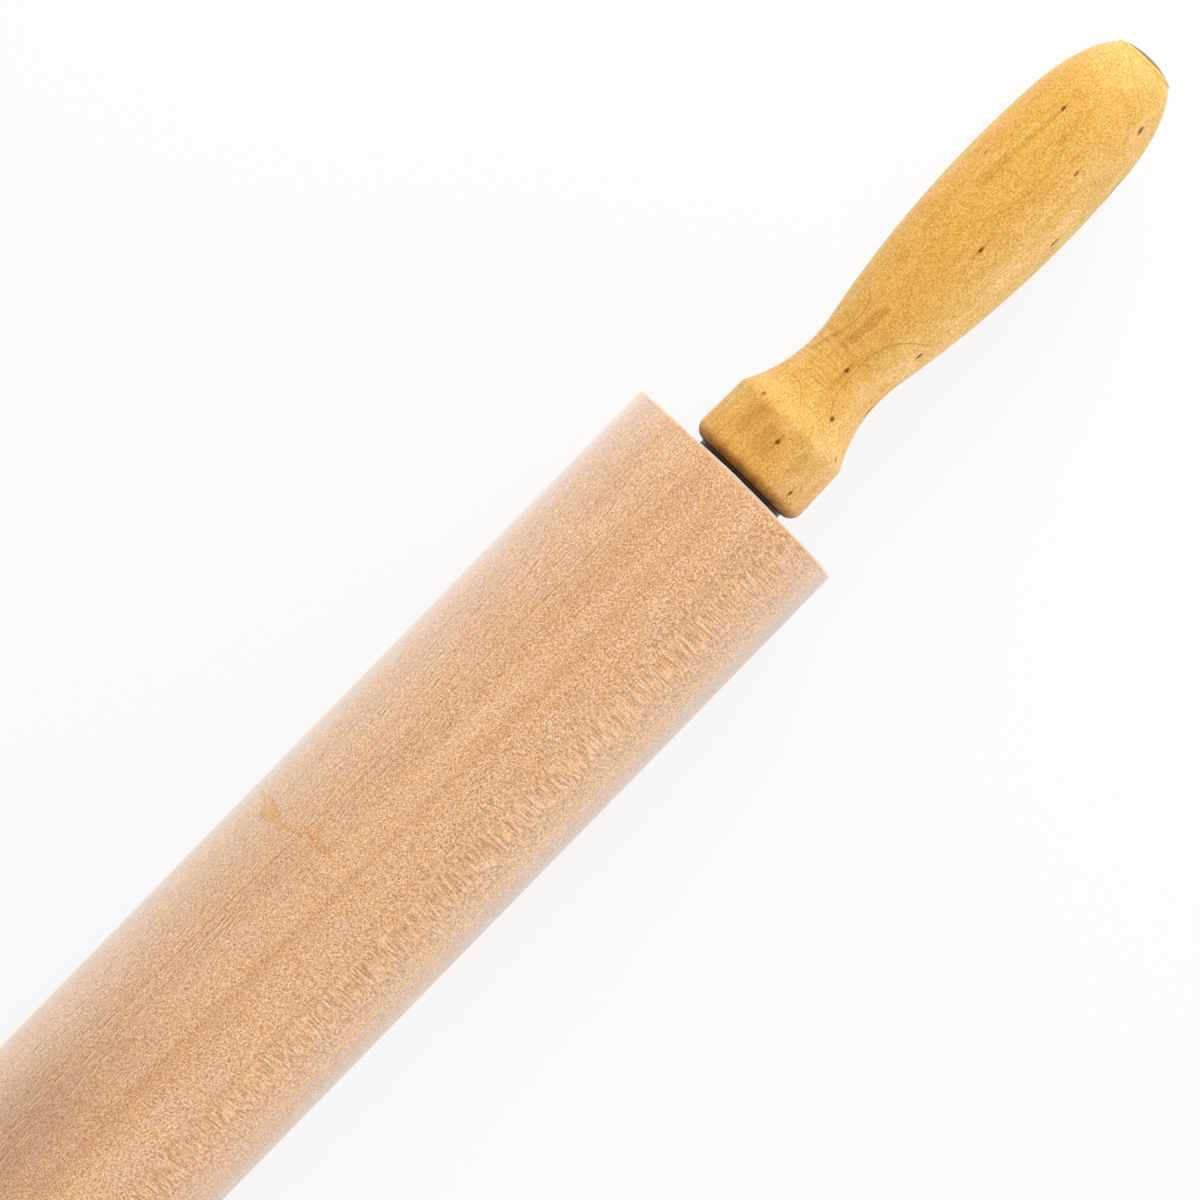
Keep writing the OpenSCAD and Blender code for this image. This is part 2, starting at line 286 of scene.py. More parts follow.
# The figure of solid wood, cut from a log whose centre runs beside the piece: growth rings about
# that centre, rays that run out from it, fibres along the grain and fine speckle.
def make_wood_figure():
    group, given, out = new_group(
        "wood_figure",
        [("Place", "NodeSocketVector", None), ("Pith", "NodeSocketVector", None),
         ("Slope", "NodeSocketVector", None), ("Ring Width", "NodeSocketFloat", 3.0),
         ("Waver", "NodeSocketFloat", 1.0), ("Ray Size", "NodeSocketVector", None),
         ("Speckle Size", "NodeSocketFloat", 0.8)],
        [("Ring", "NodeSocketFloat"), ("Tone", "NodeSocketFloat"), ("Ray", "NodeSocketFloat"),
         ("Fibre", "NodeSocketFloat"), ("Speckle", "NodeSocketFloat")])
    place = given["Place"]
    x = parts_of(group, place)[0]
    sway = node(group, "ShaderNodeTexNoise", {"Vector": times(group, place, 0.012, 0.04, 0.04),
                                              "Scale": 1.0, "Detail": 2.0}).outputs["Color"]
    sway = place_calc(group, "SUBTRACT", sway, (0.5, 0.5, 0.5))
    away = place_calc(group, "SUBTRACT", place, given["Pith"])
    away = place_calc(group, "ADD", away, scaled(group, sway, given["Waver"]))
    away = place_calc(group, "ADD", away, scaled(group, given["Slope"], x))
    _, y, z = parts_of(group, away)
    radius = out_from_x(group, y, z)
    pith_far = place_calc(group, "LENGTH", given["Pith"], out="Value")
    around = product(group, calc(group, "ARCTAN2", y, z), pith_far)

    # Each year's ring darkens slowly and ends at once, and no two years are equally wide
    uneven = cloud(group, place_of(group, product(group, radius, 0.13)), 2.0)
    count = calc(group, "DIVIDE", radius, given["Ring Width"])
    share = calc(group, "FRACT", calc(group, "MULTIPLY_ADD", uneven, 2.5, count))
    late = calc(group, "POWER", share, 7.0)
    years = place_of(group, product(group, radius, 0.16), product(group, x, 0.004))

    log_place = place_of(group, x, around, radius)
    rays = cloud(group, place_calc(group, "DIVIDE", log_place, given["Ray Size"]), 0.0, 0.5, 0.3)
    grain_place = scaled(group, place, calc(group, "DIVIDE", 1.0, given["Speckle Size"]))
    grains = cloud(group, grain_place, 0.0, 0.5, 0.6)
    wire(group, out, {"Ring": product(group, late, ease(group, share, 0.97, 1.0, 1.0, 0.0)),
                      "Tone": cloud(group, years, 2.0, 0.5),
                      "Ray": spread(group, rays, *full_contrast),
                      "Fibre": cloud(group, times(group, log_place, 0.05, 2.2, 2.2), 3.0, 0.6),
                      "Speckle": spread(group, grains, *full_contrast)})
    return group


# The least difference between the two ends of a curve's scale
least_span = 0.001


# A thin drawn mark on a surface, such as a grain line or the track of a drip. Its points give, at each
# place along, its place across and its half width there.
def streak_reach(tree, along, across, points):
    """How far out a place is, from 0 on the mark's middle line to 1 at its edge, and a fade to its ends."""
    first, last = points[0][0], points[-1][0]
    share = spread(tree, along, first, last)
    read = []
    for column in (1, 2):
        low = min(p[column] for p in points)
        high = max(p[column] for p in points) + least_span
        curve = node(tree, "ShaderNodeFloatCurve", {"Value": share})
        marks = curve.mapping.curves[0].points
        while len(marks) < len(points):
            marks.new(0.5, 0.5)
        for mark, p in zip(marks, points):
            mark.location = ((p[0] - first) / (last - first), (p[column] - low) / (high - low))
        curve.mapping.update()
        read.append(spread(tree, curve.outputs[0], 0, 1, low, high))
    gap = calc(tree, "ABSOLUTE", calc(tree, "SUBTRACT", across, read[0]))
    ends = product(tree, ease(tree, share, 0.0, 0.06), ease(tree, share, 0.94, 1.0, 1.0, 0.0))
    return calc(tree, "DIVIDE", gap, read[1]), ends


def streak(tree, along, across, points, strength=1.0, soft_from=0.35):
    """A mask of the mark, which fades from this share of its half width to its edge."""
    reach, ends = streak_reach(tree, along, across, points)
    return product(tree, ease(tree, reach, soft_from, 1.0, 1.0, 0.0), ends, strength)


# A small dark mark in the wood, with a fainter tail each way along the grain.
def make_fleck_group():
    group, given, out = new_group(
        "pin_fleck",
        [("Place", "NodeSocketVector", None), ("At", "NodeSocketVector", None),
         ("Size", "NodeSocketVector", None), ("Strength", "NodeSocketFloat", 1.0),
         ("So Far", "NodeSocketFloat", 0.0)],
        [("Marks", "NodeSocketFloat")])
    away = place_calc(group, "SUBTRACT", given["Place"], given["At"])
    away = place_calc(group, "DIVIDE", away, given["Size"])
    near = place_calc(group, "LENGTH", away, out="Value")
    tail = place_calc(group, "LENGTH", times(group, away, 0.22, 1.5, 1.5), out="Value")
    core = ease(group, near, 0.45, 1.1, 1.0, 0.0)
    trail = ease(group, tail, 0.1, 1.0, 0.50, 0.0)
    mark = product(group, calc(group, "MAXIMUM", core, trail), given["Strength"])
    wire(group, out, {"Marks": calc(group, "MAXIMUM", mark, given["So Far"])})
    return group


wood_figure = make_wood_figure()
pin_fleck = make_fleck_group()


def flecks(tree, place, marks, so_far=0.0):
    """Adds each (place, size, strength) to the dark marks so far."""
    for at, size, strength in marks:
        so_far = node(tree, "ShaderNodeGroup", {"Place": place, "At": at, "Size": size, "Strength": strength,
                                                "So Far": so_far}, node_tree=pin_fleck).outputs["Marks"]
    return so_far


# The track of a honey-coloured drip round the far side: a leaf-shaped blot, its tail and a darker drop.
# Each point is the place round the barrel from the top towards -Y, the place along it and a half width.
drip = [(-37.0, 26.0, 0.30), (-34.8, 26.1, 0.60), (-32.4, 26.1, 0.95), (-29.7, 25.3, 2.00),
        (-27.4, 24.7, 2.45), (-25.2, 24.55, 2.05), (-23.3, 24.7, 1.35), (-21.4, 24.65, 0.62),
        (-19.7, 25.0, 0.42), (-18.0, 25.40, 0.40), (-16.6, 25.8, 0.42), (-14.5, 26.5, 0.45)]
drop = [(-17.0, 27.5, 0.50), (-15.2, 27.8, 0.68), (-12.8, 27.8, 0.80), (-11.0, 27.65, 1.10),
        (-8.9, 27.5, 1.00), (-7.0, 27.5, 0.55), (-4.8, 27.5, 0.40)]
drip_end = [(-5.0, 27.5, 0.40), (2.0, 27.7, 0.75), (6.0, 27.6, 0.45), (15.0, 27.5, 0.55),
            (19.0, 27.4, 0.50), (28.5, 26.8, 0.40)]

# Thin brown grain lines and open pores along the barrel, each with its strength. Each point is the
# place along the barrel, the place round it and a half width.
grain_lines = [([(-46.0, -18.2, 0.20), (-20.0, -17.0, 0.24), (7.0, -16.3, 0.26), (23.5, -15.5, 0.22),
                 (41.5, -14.4, 0.22), (95.0, -12.9, 0.20), (146.0, -11.8, 0.18)], 0.90),
               ([(129.5, -24.1, 0.18), (134.3, -23.5, 0.32), (139.6, -22.9, 0.24)], 0.55),
               ([(28.0, -27.6, 0.16), (52.0, -26.4, 0.20), (86.0, -24.6, 0.20), (122.0, -23.2, 0.16)], 0.62),
               ([(99.0, -24.2, 0.16), (105.0, -24.5, 0.20), (111.0, -24.2, 0.16)], 0.38),
               ([(115.5, -24.0, 0.14), (124.0, -23.8, 0.18)], 0.32),
               ([(109.0, -29.5, 0.16), (120.0, -29.9, 0.20)], 0.42),
               ([(100.5, -20.6, 0.16), (106.5, -20.9, 0.18)], 0.34),
               ([(-9.8, -26.0, 0.18), (-4.4, -26.6, 0.22)], 0.48),
               ([(-13.5, -22.2, 0.16), (-8.5, -22.6, 0.18)], 0.40),
               ([(0.8, -21.2, 0.16), (6.6, -21.7, 0.20)], 0.42),
               ([(9.0, -23.0, 0.18), (16.4, -24.7, 0.20)], 0.42),
               ([(27.6, -23.8, 0.18), (34.5, -24.6, 0.16)], 0.40),
               ([(29.8, 4.6, 0.20), (32.6, 4.9, 0.22)], 0.50)]

# Broad soft bands of darker and paler years along the barrel, in the same form, and some bands of painted
# sheen and shade. The falloff bands are painted shade, darker towards the barrel's left end as the light
# falls off.
dark_bands = [([(-165.0, -2.5, 3.6), (-30.0, -0.2, 4.2), (60.0, 0.9, 3.6), (165.0, 1.8, 3.8)], 0.65),
              ([(-165.0, 13.4, 1.5), (10.0, 13.3, 1.8), (165.0, 13.8, 1.6)], 0.65),
              ([(20.0, -8.6, 3.0), (70.0, -7.8, 4.6), (165.0, -7.0, 4.8)], 0.55),
              ([(-165.0, -15.0, 2.6), (-40.0, -13.4, 2.8), (70.0, -11.0, 2.0)], 0.45),
              ([(116.0, -24.0, 8.0), (150.0, -24.0, 13.0)], 0.50),
              ([(116.0, 14.0, 8.0), (150.0, 14.0, 13.0)], 0.40)]
pale_bands_and_sheen = [([(-165.0, -7.2, 0.9), (-30.0, -5.2, 1.1), (60.0, -3.0, 0.8), (165.0, -2.4, 0.9)], 0.55),
              ([(-165.0, 8.0, 3.2), (10.0, 8.2, 3.6), (165.0, 9.0, 3.4)], 0.60),
              # The next two wide bands, at the far and near edges, are painted sheen
              ([(-165.0, -31.0, 11.0), (0.0, -30.0, 12.0), (165.0, -28.0, 10.0)], 1.5),
              ([(-165.0, 33.0, 9.0), (0.0, 32.0, 9.0), (165.0, 32.0, 9.0)], 0.5),
              ([(20.0, -12.0, 10.0), (54.0, -12.0, 24.0), (88.0, -12.0, 10.0)], 0.8),
              ([(30.0, -23.0, 4.0), (56.0, -23.0, 7.0), (84.0, -23.0, 4.0)], 0.7)]
# Painted shade, where the light falls off towards the left end
painted_falloff_bands = [([(-400.0, -13.0, 18.0), (-16.0, -13.0, 16.0)], 0.5),
                 ([(-400.0, -15.0, 20.0), (-38.0, -15.0, 18.0)], 0.7)]
yellow_bands_and_shade = [([(-165.0, 18.5, 7.0), (0.0, 18.8, 8.5), (165.0, 19.0, 8.5)], 0.9),
                # This band is painted shade just inside the near edge, before the painted reflection there
                # begins
                ([(-165.0, 28.5, 4.5), (165.0, 28.5, 4.5)], 0.65)]
brown_cloud = [(120.0, -19.5, 1.5), (134.0, -21.0, 4.0), (143.0, -21.5, 5.0), (150.0, -21.0, 4.0)]

# Small dark specks: the place along the barrel, the place round it, length, width and strength
barrel_specks = [(-9.1, -37.5, 0.55, 0.30, 0.9), (125.6, -37.6, 0.26, 0.24, 0.9),
                 (131.6, 2.3, 0.34, 0.28, 0.8), (-18.0, 7.9, 0.35, 0.28, 0.5), (2.9, 24.6, 0.30, 0.26, 0.6)]

# The middle of the barrel's log, in millimetres from the barrel's own axis, and how the grain slopes
barrel_pith = (0, 68.6, 86.0)
barrel_slope = (0, 0.012, 0.010)

# Where the painted reflection on the near side begins and ends round the barrel, and the edge that hands have
# worn
near_reflection_from = (31.2, 32.6)
near_reflection_to = (44.0, 52.0)
worn_edge = (149.0, 150.2)


def face_to_pith(tree, y, z, pith):
    """How squarely the surface faces the pith: 0 where it is cut along the rays, 1 along the rings."""
    outward = place_of(tree, 0.0, y, z)
    towards_pith = place_calc(tree, "NORMALIZE", place_calc(tree, "SUBTRACT", pith, outward))
    outward = place_calc(tree, "NORMALIZE", outward)
    return calc(tree, "ABSOLUTE", place_calc(tree, "DOT_PRODUCT", outward, towards_pith, "Value"))


def banded(tree, colour, x, around, seen):
    """The wood's colour with its broad bands, some of them painted sheen and shade, and a painted reflection
    on the near side, which begins at a clear line.
    """
    for bands, shade in ((dark_bands, darker_band), (pale_bands_and_sheen, paler_tone_and_sheen), (yellow_bands_and_shade, yellow_tone_and_shade),
                         (painted_falloff_bands, painted_falloff_shade)):
        for band, strength in bands:
            colour = stained(tree, streak(tree, x, around, band, strength, 0.0), colour, shade)
    brown = product(tree, streak(tree, x, around, brown_cloud, 1.0, 0.0),
                    ease(tree, seen["Ray"], 0.1, 0.7, 0.3, 1.3))
    colour = stained(tree, brown, colour, honey_rim)
    # A painted reflection pales the near side from a clear line outwards
    near_side = product(tree, ease(tree, around, *near_reflection_from),
                        ease(tree, around, *near_reflection_to, 0.9, 0.0))
    return stained(tree, near_side, colour, painted_near_reflection)


def pored(tree, colour, place, x, around, facing):
    """The colour with open pores, short and a little slanted, where the surface is cut along the rings, each
    with a painted highlight beside it.
    """
    slant = calc(tree, "MULTIPLY_ADD", x, 0.09, around)
    thick_with_pores = ease(tree, cloud(tree, times(tree, place, 0.05, 0.12, 0.12)), 0.36, 0.56, 0.62, 1.0)
    flat_cut = product(tree, ease(tree, facing, 0.86, 0.95), thick_with_pores)
    # Each pore has a painted highlight on one side, for the lit edge of its groove
    for step, share, shade in ((0.27, 0.62, painted_pore_highlight), (0.0, 0.85, pore_brown)):
        pore_place = place_of(tree, product(tree, x, 0.25),
                              product(tree, calc(tree, "SUBTRACT", slant, step), 2.2), 3.7)
        pores = ease(tree, cloud(tree, pore_place, 1.0, 0.6, 0.4), 0.60, 0.67)
        colour = mixed(tree, product(tree, pores, flat_cut, share), colour, shade)
    return colour


def specked(tree, colour, place):
    """The colour with its few small dark specks."""
    placed = []
    for along, round_it, long, wide, strength in barrel_specks:
        turn = round_it * mm / barrel_r
        at = (along, -barrel_r / mm * math.sin(turn), barrel_r / mm * math.cos(turn))
        placed.append((at, (long, wide, wide), strength))
    return mixed(tree, flecks(tree, place, placed), colour, speck_brown)


def dripped_on(tree, colour, x, around, seen):
    """The colour with the honey-coloured drip, mottled by the grain and darker where its edge dried."""
    ragged = added(tree, x, seen["Speckle"], 0.5)
    mottled = ease(tree, seen["Speckle"], 0.25, 0.75, 1.20, 0.70)
    for run, strength in ((drip, 1.0), (drop, 0.68), (drip_end, 0.34)):
        reach, ends = streak_reach(tree, around, ragged, run)
        wet = product(tree, ease(tree, reach, 0.75, 1.0, strength, 0.0), ends, mottled)
        dried = product(tree, ease(tree, reach, 0.45, 0.80), wet)
        colour = stained(tree, wet, colour, honey_stain)
        colour = stained(tree, dried, colour, honey_rim)
    return colour


def make_barrel_wood():
    material, tree, shader = new_material("bare_maple")
    place = object_place(tree)
    x, y, z = parts_of(tree, place)
    seen = node(tree, "ShaderNodeGroup",
                {"Place": place, "Pith": barrel_pith, "Slope": barrel_slope, "Ring Width": 3.1,
                 "Waver": 2.2, "Ray Size": (0.47, 0.21, 5.0), "Speckle Size": 0.30},
                node_tree=wood_figure).outputs
    facing = face_to_pith(tree, y, z, barrel_pith)
    # Place round the barrel, in millimetres from the top towards -Y
    around = product(tree, calc(tree, "ARCTAN2", product(tree, y, -1.0), z), barrel_r / mm)

    value = calc(tree, "MULTIPLY_ADD", seen["Tone"], 0.45, 0.275)
    value = added(tree, value, seen["Ray"], ease(tree, facing, 0.06, 0.16, 0.74, 0.52))
    value = added(tree, value, seen["Speckle"], 0.94)
    value = added(tree, value, seen["Fibre"], 0.20)
    value = calc(tree, "MULTIPLY_ADD", seen["Ring"], -0.06, value)
    colour = shades(tree, value, [(0.0, maple_deep), (0.5, maple_mid), (1.0, maple_pale)])
    warmth = cloud(tree, times(tree, place, 0.3, 0.3, 0.3), 3.0, 0.8)
    colour = stained(tree, 1.0, colour, shades(tree, warmth, [(0.3, maple_yellow), (0.7, maple_pink)]))
    colour = banded(tree, colour, x, around, seen)
    colour = pored(tree, colour, place, x, around, facing)
    broken = ease(tree, seen["Speckle"], 0.0, 0.6, 1.0, 0.45)
    for line, strength in grain_lines:
        drawn = product(tree, streak(tree, x, around, line, strength), broken)
        colour = mixed(tree, drawn, colour, line_brown)
    colour = specked(tree, colour, place)
    colour = dripped_on(tree, colour, x, around, seen)

    # The rounded edge at each end has taken a browner tint from handling
    wear_and_light = calc(tree, "MULTIPLY_ADD", seen["Tone"], 1.2, calc(tree, "ABSOLUTE", x))
    colour = mixed(tree, ease(tree, wear_and_light, *worn_edge, 0.0, 0.45), colour, maple_edge)
    height = calc(tree, "MULTIPLY_ADD", seen["Fibre"], 0.6, seen["Ray"])
    wire(tree, shader, {"Base Color": colour, "Normal": raised(tree, height, 0.12, grain_depth),
                        "Roughness": spread(tree, seen["Speckle"], 0.0, 1.0, 0.52, 0.64),
                        "Sheen Weight": 1.0, "Sheen Roughness": 0.58})
    return material


def barrel_outline():
    right = [(0, barrel_r)]
    right += straight((0, barrel_r), (barrel_end - barrel_edge, barrel_r), 16)
    right += bow(barrel_end - barrel_edge, barrel_r - barrel_edge, barrel_edge, 90, 0, 6)
    right += [(barrel_end, pocket_r + pocket_chamfer), (barrel_end - pocket_chamfer, pocket_r),
              (pocket_floor, pocket_r), (pocket_floor, relief_r), (relief_floor, relief_r),
              (relief_floor, barrel_bore_r)]
    left = [(-x, r) for x, r in reversed(right[1:])]
    return right + left


barrel = turned("barrel_turned", barrel_outline(), steps=192)
put_on([barrel], make_barrel_wood())
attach(barrel, "barrel")
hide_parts("barrel")


# Ball bearings
# One in each pocket: two rings of ground steel, seven polished balls in a brass cage, and a pressed
# steel shield on each side. The outer ring is pressed in the wood and the inner ring slides on the axle.

ground_steel = (0.60, 0.61, 0.63, 1)
ball_steel = (0.74, 0.75, 0.77, 1)
cage_brass = (0.72, 0.50, 0.18, 1)
shield_steel = (0.46, 0.47, 0.49, 1)
dull_stain = (0.16, 0.13, 0.10, 1)
tool_mark_depth = 0.02 * mm


# Marks of a lathe or grinder on a piece turned about X, with light stains and wear.
def make_machined_metal():
    group, given, out = new_group(
        "machined_metal",
        [("Place", "NodeSocketVector", None), ("Colour", "NodeSocketColor", (0.6, 0.6, 0.6, 1)),
         ("Stain", "NodeSocketColor", (0.2, 0.18, 0.15, 1)), ("Stained", "NodeSocketFloat", 0.3),
         ("Roughness", "NodeSocketFloat", 0.3), ("Marks", "NodeSocketFloat", 8.0)],
        [("Colour", "NodeSocketColor"), ("Roughness", "NodeSocketFloat"), ("Height", "NodeSocketFloat")])
    place = given["Place"]
    x, y, z = parts_of(group, place)
    lines = place_of(group, product(group, x, given["Marks"]),
                     product(group, out_from_x(group, y, z), given["Marks"]),
                     product(group, calc(group, "ARCTAN2", y, z), 0.6))
    marks = cloud(group, lines, 2.0, 0.6)
    blotches = cloud(group, times(group, place, 0.35, 0.35, 0.35), 3.0, 0.6, 0.5)
    dulled = product(group, ease(group, blotches, 0.48, 0.72), given["Stained"])
    colour = mixed(group, product(group, calc(group, "SUBTRACT", marks, 0.3), 0.25),
                   given["Colour"], given["Stain"])
    rough = added(group, given["Roughness"], marks, 0.12)
    wire(group, out, {"Colour": mixed(group, dulled, colour, given["Stain"]),
                      "Roughness": calc(group, "MULTIPLY_ADD", dulled, 0.3, rough), "Height": marks})
    return group


machined_metal = make_machined_metal()


def metal(name, colour, rough, stain=dull_stain, stain_share=0.25, marks=8.0, bump=0.15):
    """A machined metal with its own colour, roughness, staining and tool marks to a millimetre."""
    material, tree, shader = new_material(name)
    made = node(tree, "ShaderNodeGroup",
                {"Place": object_place(tree), "Colour": colour, "Stain": stain, "Stained": stain_share,
                 "Roughness": rough, "Marks": marks}, node_tree=machined_metal).outputs
    wire(tree, shader, {"Base Color": made["Colour"], "Roughness": made["Roughness"], "Metallic": 1.0,
                        "Normal": raised(tree, made["Height"], bump, tool_mark_depth)})
    return material


def on_both_sides(piece):
    """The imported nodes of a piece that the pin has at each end."""
    return [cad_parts[piece + "_left"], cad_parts[piece + "_right"]]


bearing_rings = on_both_sides("bearing_outer_ring") + on_both_sides("bearing_inner_ring")
bearing_shields = on_both_sides("bearing_inner_shield") + on_both_sides("bearing_outer_shield")
put_on(bearing_rings, metal("ground_ring_steel", ground_steel, 0.24, stain_share=0.12, marks=14.0))
put_on(bearing_shields, metal("pressed_shield_steel", shield_steel, 0.36, marks=4.0))
put_on(on_both_sides("bearing_cage"), metal("machined_cage_brass", cage_brass, 0.30, marks=6.0))
put_on(on_both_sides("bearing_balls"),
       metal("polished_ball_steel", ball_steel, 0.08, stain_share=0.05, bump=0.02))


# Axle
# One bar of bright drawn steel through the whole pin, with a groove behind each bearing and a threaded
# end of smaller diameter in each handle. A spring steel ring sits in each groove and stops the bearing.

drawn_steel = (0.50, 0.51, 0.53, 1)
spring_steel = (0.085, 0.085, 0.095, 1)

put_on([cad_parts["axle_rod"]],
       metal("drawn_axle_steel", drawn_steel, 0.32, stain_share=0.35, marks=3.0))
put_on(on_both_sides("retaining_ring"), metal("dark_spring_steel", spring_steel, 0.38, marks=5.0))


# Shims and washers
# A plated shim keeps the washers off the barrel. The bright steel cover washer hides the bearing, and
# the blackened seat washer is what the handle is clamped against.

face_gap = 0.3 * mm
cover_face = barrel_end + face_gap
cover_t = 0.6 * mm
cover_r = 12.5 * mm
seat_face = cover_face + cover_t
seat_t = 1.1 * mm
seat_r = 12.2 * mm
washer_clear = 0.15 * mm
washer_hole_r = axle_r + washer_clear
rim_ease = 0.16 * mm
plated_steel = (0.58, 0.60, 0.63, 1)
bright_steel = (0.88, 0.78, 0.60, 1)
blackened_steel = (0.040, 0.026, 0.018, 1)
cover_stain = (0.45, 0.38, 0.28, 1)
seat_stain = (0.10, 0.07, 0.05, 1)

put_on(on_both_sides("shim_washer"), metal("plated_shim_steel", plated_steel, 0.30))


def washer(name, face, thickness, r_in, r_out, side):
    """A punched washer with its four edges eased, on the right side or the left."""
    far = face + thickness
    e = rim_ease
    outline = bow(face + e, r_out - e, e, 180, 90, 4) + bow(far - e, r_out - e, e, 90, 0, 4)
    outline += bow(far - e, r_in + e, e, 0, -90, 4) + bow(face + e, r_in + e, e, -90, -180, 4)
    return turned(name, [(side * x, r) for x, r in outline], steps=128, sharp=50)


cover_material = metal("bright_cover_steel", bright_steel, 0.30, cover_stain, 0.3)
seat_material = metal("blackened_seat_steel", blackened_steel, 0.34, seat_stain, 0.5)
for side_name, side in (("left", -1), ("right", 1)):
    cover = washer("cover_washer_" + side_name + "_turned", cover_face, cover_t, washer_hole_r, cover_r, side)
    put_on([cover], cover_material)
    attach(cover, "axle")
    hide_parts("cover_washer_" + side_name)
    seat = washer("seat_washer_" + side_name + "_turned", seat_face, seat_t, washer_hole_r, seat_r, side)
    put_on([seat], seat_material)
    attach(seat, "axle")
    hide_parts("seat_washer_" + side_name)


# Handles
# Each is turned from one piece of hardwood, with a collar, a neck and a long grip, bored for the axle and
# counterbored at its tip for the nut, under an amber varnish. Its colour carries painted shade at the base
# and on the collar, painted sheen on the sides, a painted highlight on the shoulder and painted light at the
# tip.

handle_base = seat_face + seat_t
handle_len = 129.5 * mm
collar_r = 15.45 * mm
collar_end_r = 15.15 * mm
collar_len = 16 * mm
collar_edge = 1.6 * mm
base_round = 3.2 * mm
neck_r = 10.4 * mm
neck_at = 33.6 * mm
neck_curve = 35.5 * mm
grip_r = 15.5 * mm
grip_at = 89.2 * mm
shoulder_at = 109.5 * mm
shoulder_reach = 7.1 * mm
tip_reach = 5.3 * mm
tip_slope = math.radians(48)
tip_r = 7.85 * mm
handle_bore_clear = 0.2 * mm
handle_bore_r = axle_r + handle_bore_clear
counterbore_r = 6.35 * mm
counterbore_depth = 16 * mm
counterbore_floor = handle_len - counterbore_depth

# How far along its log each handle's figure lies, and the middle of that log, in millimetres
log_shift = 310
left_pith = (0, -14, -60)
right_pith = (0, 10, -58)

# The varnish has drawn each dark mark out a little, which makes it larger by this factor
soaked_out = 1.15

# Where the painted shade, sheen, highlight and light and the neck's ridges change. A distance is from the
# base in millimetres, and an angle is from the top towards -Y in degrees. Each change runs from the first
# value to the second.
# Painted shade on the collar fades out between these distances
collar_shade_to = (13.0, 19.0)
# Painted sheen on the far and near sides, a painted highlight on the shoulder and painted light at the tip
far_sheen_from = (-36.0, -88.0)
far_sheen_to = (-150.0, -95.0)
near_sheen_from = (2.0, 60.0)
near_sheen_to = (72.0, 120.0)
shoulder_highlight_from = (13.5, 19.0)
shoulder_highlight_to = (18.0, 28.0)
tip_light_from = (112.0, 129.0)
ridges_from = (22.0, 28.0)
ridges_to = (38.0, 46.0)
ridges_fade = (-12.0, 14.0)
# Painted shade at the base fades out between these distances
base_shade_reach = (0.5, 3.3)

amber_deep = (0.452, 0.184, 0.016, 1)
amber_mid = (0.725, 0.392, 0.073, 1)
amber_pale = (0.950, 0.620, 0.245, 1)
# Painted sheen and light: paler on the handle's sides, shoulder and tip
painted_sheen_tint = (1.290, 1.490, 2.520, 1)
amber_line = (0.420, 0.185, 0.015, 1)
amber_smoke = (0.790, 0.695, 0.580, 1)
# Painted shade: the collar a little darker, as the light falls off away from the tip
painted_collar_shade = (0.930, 0.940, 1.000, 1)
amber_gloss = (0.950, 0.700, 0.350, 1)
amber_sheen = (0.950, 0.820, 0.600, 1)
fleck_brown = (0.150, 0.050, 0.001, 1)
# Painted shade at the handle's base, next to the dark gap by the washers
painted_base_shade = (0.058, 0.023, 0.001, 1)


def swept(a, b, c, d, steps):
    """Points of an outline along a cubic curve from a to d, without its first point."""
    points = []
    for i in range(1, steps + 1):
        u = i / steps
        v = 1 - u
        share = (v * v * v, 3 * v * v * u, 3 * v * u * u, u * u * u)
        points.append(tuple(sum(k * p[j] for k, p in zip(share, (a, b, c, d))) for j in (0, 1)))
    return points


def handle_outside():
    """The handle's outline from its base to its tip."""
    drop = collar_end_r - neck_r
    run = neck_at - collar_len
    hollow_curve = (run * run + drop * drop) / (2 * drop)
    hollow_turn = math.degrees(math.asin(run / hollow_curve))
    hollow = bow(neck_at, neck_r + hollow_curve, hollow_curve, -90 - hollow_turn, -90, 20)
    rise = grip_r - neck_r
    swell = grip_at - neck_at
    both_curves = (swell * swell + rise * rise) / (2 * rise)
    swell_turn = math.degrees(math.asin(swell / both_curves))
    grip_curve = both_curves - neck_curve
    shoulder_turn = math.asin((shoulder_at - grip_at) / grip_curve)
    shoulder = (shoulder_at, grip_r - grip_curve + grip_curve * math.cos(shoulder_turn))
    tip = (handle_len, tip_r)
    closing = (shoulder[0] + shoulder_reach * math.cos(shoulder_turn),
               shoulder[1] - shoulder_reach * math.sin(shoulder_turn))
    turning = (tip[0] - tip_reach * math.cos(tip_slope), tip[1] + tip_reach * math.sin(tip_slope))
    edge_start = (collar_len - collar_edge, collar_end_r)
    edge_mid = (collar_len, collar_end_r)
    outline = bow(base_round, collar_r - base_round, base_round, 180, 90, 12)
    outline += straight((base_round, collar_r), edge_start, 8) + [edge_start]
    outline += swept(edge_start, edge_mid, edge_mid, hollow[2], 8)
    outline += hollow[3:]
    outline += bow(neck_at, neck_r + neck_curve, neck_curve, -90, -90 + swell_turn, 6)[1:]
    outline += bow(grip_at, grip_r - grip_curve, grip_curve, 90 + swell_turn,
                   90 - math.degrees(shoulder_turn), 40)[1:]
    return outline + swept(shoulder, closing, turning, tip, 20)


